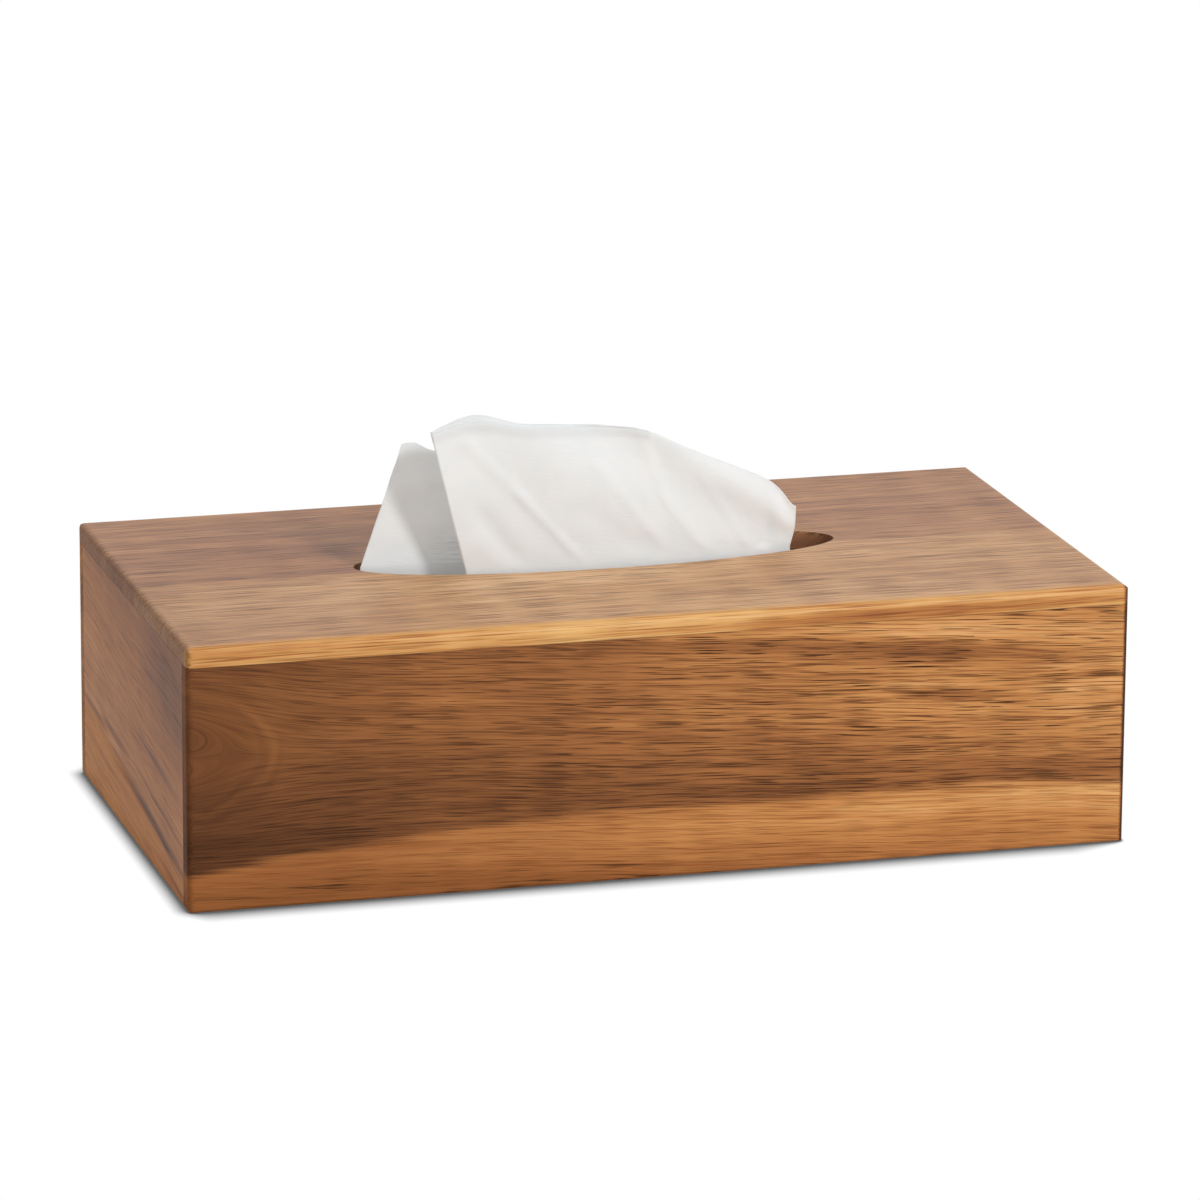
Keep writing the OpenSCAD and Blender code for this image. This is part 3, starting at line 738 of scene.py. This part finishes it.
def stringPoints(u, s):
    rim = rimPoint(u, s)
    rim[2] -= np.interp(u, *zip(*plyStep))
    wx, wy = alongTable(waistShares, u)
    waist = np.array([wx * s["slotHalf"][0], s["slotBack"] + wy * s["slotHalf"][1], s["caseTop"]])
    hx, hy = alongTable(hemShares, u)
    hem = np.array([hx * s["packHalf"][0], hy * s["packHalf"][1], s["hemLevel"]])
    out = hem - waist
    out[2] = 0
    out /= np.linalg.norm(out)
    front = 1 - smooth(*s["creasesEnd"], u)
    points = []
    for j in range(s["riseSteps"] + 1):
        v = j / s["riseSteps"]
        turn = math.radians(s["foldTurn"] * (u - s["foldRoot"]) / (v + s["foldSpread"]))
        fold = s["foldDepth"] * math.cos(turn) * math.sin(math.pi * min(1, v + s["foldLead"]))
        flat = s["foldEndDepth"] * smooth(*s["foldEnds"], u)
        fold *= (1 - flat) * (1 - s["sideTurnDepth"] * math.exp(-(u - s["sideTurn"]) ** 2))
        p = rim + v * (waist - rim) + np.array([0, fold, 0])
        loose = 1 - smooth(s["heldFrom"], 1, v)
        p[0] += s["belly"] * math.sin(math.pi * v) * math.exp(-(u - s["bellyAt"]) ** 2)
        p[1] -= front * creaseAt(p[0], p[2]) * loose
        for depth, length, start in s["crumple"]:
            place = Vector((p[0] / length[0] + start, p[1] / length[1], p[2] / length[2]))
            p[1] += depth * loose * noise.noise(place)
        points.append(p)
    points[0][2] += s["edgeWave"] * noise.noise(Vector((u * s["edgeRate"], 3, 0)))
    above = s["hemLevel"] + s["bend"]
    for j in range(1, s["dropSteps"] + 1):
        points.append(np.array([waist[0], waist[1], waist[2] + (above - waist[2]) * j / s["dropSteps"]]))
    for j in range(1, s["bendSteps"] + 1):
        turn = math.pi / 2 * j / s["bendSteps"]
        level = s["hemLevel"] + s["bend"] * (1 - math.sin(turn))
        p = waist + out * s["bend"] * (1 - math.cos(turn))
        points.append(np.array([p[0], p[1], level]))
    foot = points[-1]
    for j in range(1, s["hemSteps"] + 1):
        points.append(foot + (hem - foot) * j / s["hemSteps"])
    return points


def leafPoints(u, hem, s):  # the flat half below the rear hem
    last = len(rimShares) - 1
    share = (u - s["leafFrom"]) / (last - s["leafFrom"])
    x = s["packHalf"][0] * (s["leafShare"] - 2 * s["leafShare"] * share)
    edge = s["leafEdge"]
    drop = (s["hemLevel"] - s["leafLevel"]) / 2
    points = [hem + (np.array([x, edge, s["hemLevel"]]) - hem) * t for t in s["leafJoin"]]
    for j in range(1, s["turnSteps"] + 1):
        turn = math.pi * j / s["turnSteps"]
        points.append(
            np.array([x, edge + drop * math.sin(turn), s["hemLevel"] - drop * (1 - math.cos(turn))])
        )
    for j in range(1, s["leafSteps"] + 1):
        points.append(np.array([x, edge - (edge + s["leafEnd"]) * j / s["leafSteps"], s["leafLevel"]]))
    return points


def makeDrawnTissue(s):
    columns = (len(rimShares) - 1) * s["stepsPerColumn"]
    firstLeaf = s["leafFrom"] * s["stepsPerColumn"]
    vertices, faces, strings = [], [], []
    for i in range(columns + 1):
        u = i / s["stepsPerColumn"]
        points = stringPoints(u, s)
        if i >= firstLeaf:
            points += leafPoints(u, points[-1], s)
        strings.append(range(len(vertices), len(vertices) + len(points)))
        vertices += points
    for left, right in zip(strings, strings[1:]):
        rows = min(len(left), len(right)) - 1
        for j in range(rows):
            faces.append((left[j], left[j + 1], right[j + 1], right[j]))
    rearPly, rows = [], s["rearPlyRows"]
    for i in range(s["rearPlyTo"] * s["stepsPerColumn"] + 1):  # stands a little above the front one
        u = i / s["stepsPerColumn"]
        front = [rimPoint(u, s)] + [vertices[index] for index in strings[i][:rows - 1]]
        ending = smooth(s["rearPlyTo"] - s["rearPlyFade"], s["rearPlyTo"], u)
        front[0][2] -= s["rearPlyGap"] * ending
        rearPly.append(range(len(vertices), len(vertices) + rows))
        vertices += [p + (0, s["rearPlyGap"] - s["rearPlyClosed"] * ending, 0) for p in front]
    for left, right in zip(rearPly, rearPly[1:]):
        for j in range(rows - 1):
            faces.append((left[j], left[j + 1], right[j + 1], right[j]))
    mesh = bpy.data.meshes.new("drawnTissue")
    mesh.from_pydata([p * mm for p in vertices], [], faces)
    # UV: how far a point is along the sheet, measured a little below its edge, and down its string
    acrossAt, downAt, run, row = {}, {}, 0, s["measuredRow"]
    for number, string in enumerate(strings):
        if number:
            run += np.linalg.norm(vertices[string[row]] - vertices[strings[number - 1][row]])
        down = 0
        for j, index in enumerate(string):
            if j:
                down += np.linalg.norm(vertices[index] - vertices[string[j - 1]])
            acrossAt[index], downAt[index] = run / s["cut"], down / s["cut"]
    for string, front in zip(rearPly, strings):
        for j, index in enumerate(string):
            acrossAt[index], downAt[index] = acrossAt[front[0]], s["rearPlyDown"] * j / s["cut"]
    layer = mesh.uv_layers.new(name="weft")
    for loop in mesh.loops:
        layer.data[loop.index].uv = (acrossAt[loop.vertex_index], downAt[loop.vertex_index])
    mesh.polygons.foreach_set("use_smooth", [True] * len(mesh.polygons))
    sheet = bpy.data.objects.new("drawnTissue", mesh)
    scene.collection.objects.link(sheet)
    plies = sheet.modifiers.new("plies", "SOLIDIFY")
    plies.thickness = s["thickness"] * mm
    plies.offset = 0
    finished = bpy.data.meshes.new_from_object(sheet.evaluated_get(bpy.context.evaluated_depsgraph_get()))
    sheet.modifiers.clear()
    sheet.data = finished
    finished.name = "drawnTissue"
    return sheet


# Two plies of soft, creped paper: quite matt, with fine ripples across, cloudy where the fibres lie
# thicker, and thin enough for the light behind it to come through.

tissueLook = {
    "white": "#F9FDFF", "thin": "#F3F9FC", "passed": "#FDF8F3",
    "crepe": (5.0, 0.7),  # millimetres along and between the crepe's fine ripples
    "cloud": 8, "cloudEdge": (0.3, 0.7),  # millimetres between thin and thick places in the plies
    "glow": 0.35,  # how much light each face of the plies lets through
    # Where along the edge and down the sheet the crepe is drawn up, and how far round that
    "puckers": ((209, 27), (7, 6)),
    "puckerEdge": (1.2, 0.3), "rippleDepth": (0.3, 2.6),  # outside the puckers and among them
    "crepeDepth": 0.2, "roughness": 0.95, "ior": 1.4, "sheen": 0.1,
}


def makeTissuePaper(name, look, coordinate, size):
    paper = bpy.data.materials.new(name)
    paper.use_nodes = True
    tree = paper.node_tree
    tree.nodes.clear()
    place = addNode(tree, "ShaderNodeTexCoord")
    place = addNode(tree, "ShaderNodeVectorMath", {0: place.outputs[coordinate], 3: size}, operation="SCALE")
    cloud = addNode(
        tree, "ShaderNodeTexNoise",
        {"Vector": place, "Scale": 1 / look["cloud"], "Detail": 4, "Roughness": 0.6},
    )
    thick, thin = look["cloudEdge"]
    cloud = addNode(tree, "ShaderNodeMapRange", {"Value": cloud, "From Min": thick, "From Max": thin})
    colour = addNode(
        tree, "ShaderNodeMix", {0: cloud, 6: linear(look["white"]), 7: linear(look["thin"])},
        data_type="RGBA",
    ).outputs[2]
    long, short = look["crepe"]
    ripple = addNode(
        tree, "ShaderNodeVectorMath", {0: place, 1: (1 / long, 1 / short, 1 / short)}, operation="MULTIPLY",
    )
    ripple = addNode(
        tree, "ShaderNodeTexNoise",
        {"Vector": ripple, "Scale": 1, "Detail": 3, "Roughness": 0.6, "Distortion": 0.4},
    )
    pucker, around = look["puckers"]
    drawn = offFrom(tree, place, (*pucker, 0), (*around, math.inf))
    (outer, inner), (calm, puckered) = look["puckerEdge"], look["rippleDepth"]
    drawn = addNode(
        tree, "ShaderNodeMapRange",
        {"Value": drawn, "From Min": outer, "From Max": inner, "To Min": calm, "To Max": puckered},
        interpolation_type="SMOOTHSTEP",
    )
    ripple = addNode(tree, "ShaderNodeMath", {0: ripple, 1: drawn}, operation="MULTIPLY")
    deep = look["crepeDepth"] * mm
    bump = addNode(tree, "ShaderNodeBump", {"Height": ripple, "Strength": 1, "Distance": deep})
    skin = addNode(tree, "ShaderNodeBsdfPrincipled", {
        "Base Color": colour, "Roughness": look["roughness"], "IOR": look["ior"],
        "Specular IOR Level": look["sheen"], "Normal": bump,
    })
    thinness = addNode(tree, "ShaderNodeBsdfTranslucent", {"Color": linear(look["passed"]), "Normal": bump})
    both = addNode(tree, "ShaderNodeMixShader", {0: look["glow"], 1: skin, 2: thinness})
    addNode(tree, "ShaderNodeOutputMaterial", {"Surface": both})
    return paper


print("scene: drawn tissue")
drawnTissue = makeDrawnTissue(tissueSheet)
drawnTissue.data.materials.clear()
drawnTissue.data.materials.append(
    makeTissuePaper("two ply crepe tissue", tissueLook, "UV", tissueSheet["cut"])
)


# The tissues still in the pack: each is folded once, and the fold of each lies between the two
# halves of the next, at the front and at the back in turn. Millimetres.

packStack = {
    "length": 199.6, "depth": 99.4, "foot": 7.75, "top": 55.1,
    "tissues": 32,  # about 120 in the real pack, drawn thicker so that their edges can be seen
    "thickness": 0.36, "openEdge": 3.5, "foldRows": 8, "flatRows": 9, "sideSteps": 24,
    "stray": 0.5, "seed": 4,
}


def makeFoldedTissue(s, pitch):
    half = s["depth"] / 2
    radius = 1.5 * pitch  # each fold goes round two halves of its neighbours
    flatTo = half - radius
    lower = np.linspace(s["openEdge"] - half, flatTo, s["flatRows"])
    line = [(y, 0) for y in lower]
    for j in range(1, s["foldRows"]):
        turn = math.pi * j / s["foldRows"]
        line.append((flatTo + radius * math.sin(turn), radius * (1 - math.cos(turn))))
    line += [(y, 2 * radius) for y in lower[::-1]]
    vertices, faces = [], []
    for x in np.linspace(-s["length"] / 2, s["length"] / 2, s["sideSteps"] + 1):
        vertices += [Vector((x, y, z)) * mm for y, z in line]
    row = len(line)
    for i in range(s["sideSteps"]):
        for j in range(row - 1):
            at = i * row + j
            faces.append((at, at + row, at + row + 1, at + 1))
    mesh = bpy.data.meshes.new("foldedTissue")
    mesh.from_pydata(vertices, [], faces)
    mesh.polygons.foreach_set("use_smooth", [True] * len(mesh.polygons))
    tissue = bpy.data.objects.new("tissuePack", mesh)
    scene.collection.objects.link(tissue)
    plies = tissue.modifiers.new("plies", "SOLIDIFY")
    plies.thickness = s["thickness"] * mm
    plies.offset = 0
    return tissue


def makeStackTree():
    tree = bpy.data.node_groups.new("interfoldedStack", "GeometryNodeTree")
    inputs = (
        ("Folded tissue", "Geometry"), ("Tissues", "Int"), ("Pitch", "Float"), ("Stray", "Float"),
        ("Seed", "Int"), ("Paper", "Material"),
    )
    for name, kind in inputs:
        tree.interface.new_socket(name=name, in_out="INPUT", socket_type="NodeSocket" + kind)
    tree.interface.new_socket(name="Stack", in_out="OUTPUT", socket_type="NodeSocketGeometry")
    given = addNode(tree, "NodeGroupInput").outputs
    rise = addNode(tree, "ShaderNodeMath", {0: given["Pitch"], 1: 2.0}, operation="MULTIPLY")
    rise = addNode(tree, "ShaderNodeCombineXYZ", {2: rise})
    levels = addNode(tree, "GeometryNodeMeshLine", {"Count": given["Tissues"], "Offset": rise})
    less = addNode(tree, "ShaderNodeMath", {0: given["Stray"], 1: -1.0}, operation="MULTIPLY")
    low = addNode(tree, "ShaderNodeCombineXYZ", {0: less, 1: less})
    high = addNode(tree, "ShaderNodeCombineXYZ", {0: given["Stray"], 1: given["Stray"]})
    stray = addNode(
        tree, "FunctionNodeRandomValue", {0: low, 1: high, "Seed": given["Seed"]}, data_type="FLOAT_VECTOR",
    )
    levels = addNode(tree, "GeometryNodeSetPosition", {"Geometry": levels, "Offset": stray})
    # Every other tissue is turned round, so that the folds come at the front and at the back in turn
    count = addNode(tree, "GeometryNodeInputIndex")
    turned = addNode(tree, "ShaderNodeMath", {0: count, 1: 2.0}, operation="MODULO")
    turned = addNode(tree, "ShaderNodeMath", {0: turned, 1: math.pi}, operation="MULTIPLY")
    turned = addNode(tree, "ShaderNodeCombineXYZ", {2: turned})
    stack = addNode(
        tree, "GeometryNodeInstanceOnPoints",
        {"Points": levels, "Instance": given["Folded tissue"], "Rotation": turned},
    )
    stack = addNode(tree, "GeometryNodeRealizeInstances", {"Geometry": stack})
    stack = addNode(tree, "GeometryNodeSetMaterial", {"Geometry": stack, "Material": given["Paper"]})
    addNode(tree, "NodeGroupOutput", {"Stack": stack})
    return tree


def makeTissuePack(s, paper):
    pitch = (s["top"] - s["foot"] - s["thickness"]) / (2 * s["tissues"] + 1)
    pack = makeFoldedTissue(s, pitch)
    tree = makeStackTree()
    stacked = pack.modifiers.new("interfoldedStack", "NODES")
    stacked.node_group = tree
    values = {
        "Tissues": s["tissues"], "Pitch": pitch * mm, "Stray": s["stray"] * mm, "Seed": s["seed"],
        "Paper": paper,
    }
    for socket in tree.interface.items_tree:
        if socket.in_out == "INPUT" and socket.name in values:
            stacked[socket.identifier] = values[socket.name]
    finished = bpy.data.meshes.new_from_object(pack.evaluated_get(bpy.context.evaluated_depsgraph_get()))
    pack.modifiers.clear()
    pack.data = finished
    finished.name = "tissuePack"
    finished.transform(Matrix.Translation((0, 0, (s["foot"] + s["thickness"] / 2) * mm)))
    return pack


print("scene: tissues in the pack")
packPaper = makeTissuePaper("pressed tissue leaves", tissueLook, "Object", 1000)
tissuePack = makeTissuePack(packStack, packPaper)

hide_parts("tissue_sheet")
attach(drawnTissue, "case")
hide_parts("tissue_pack")
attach(tissuePack, "case")
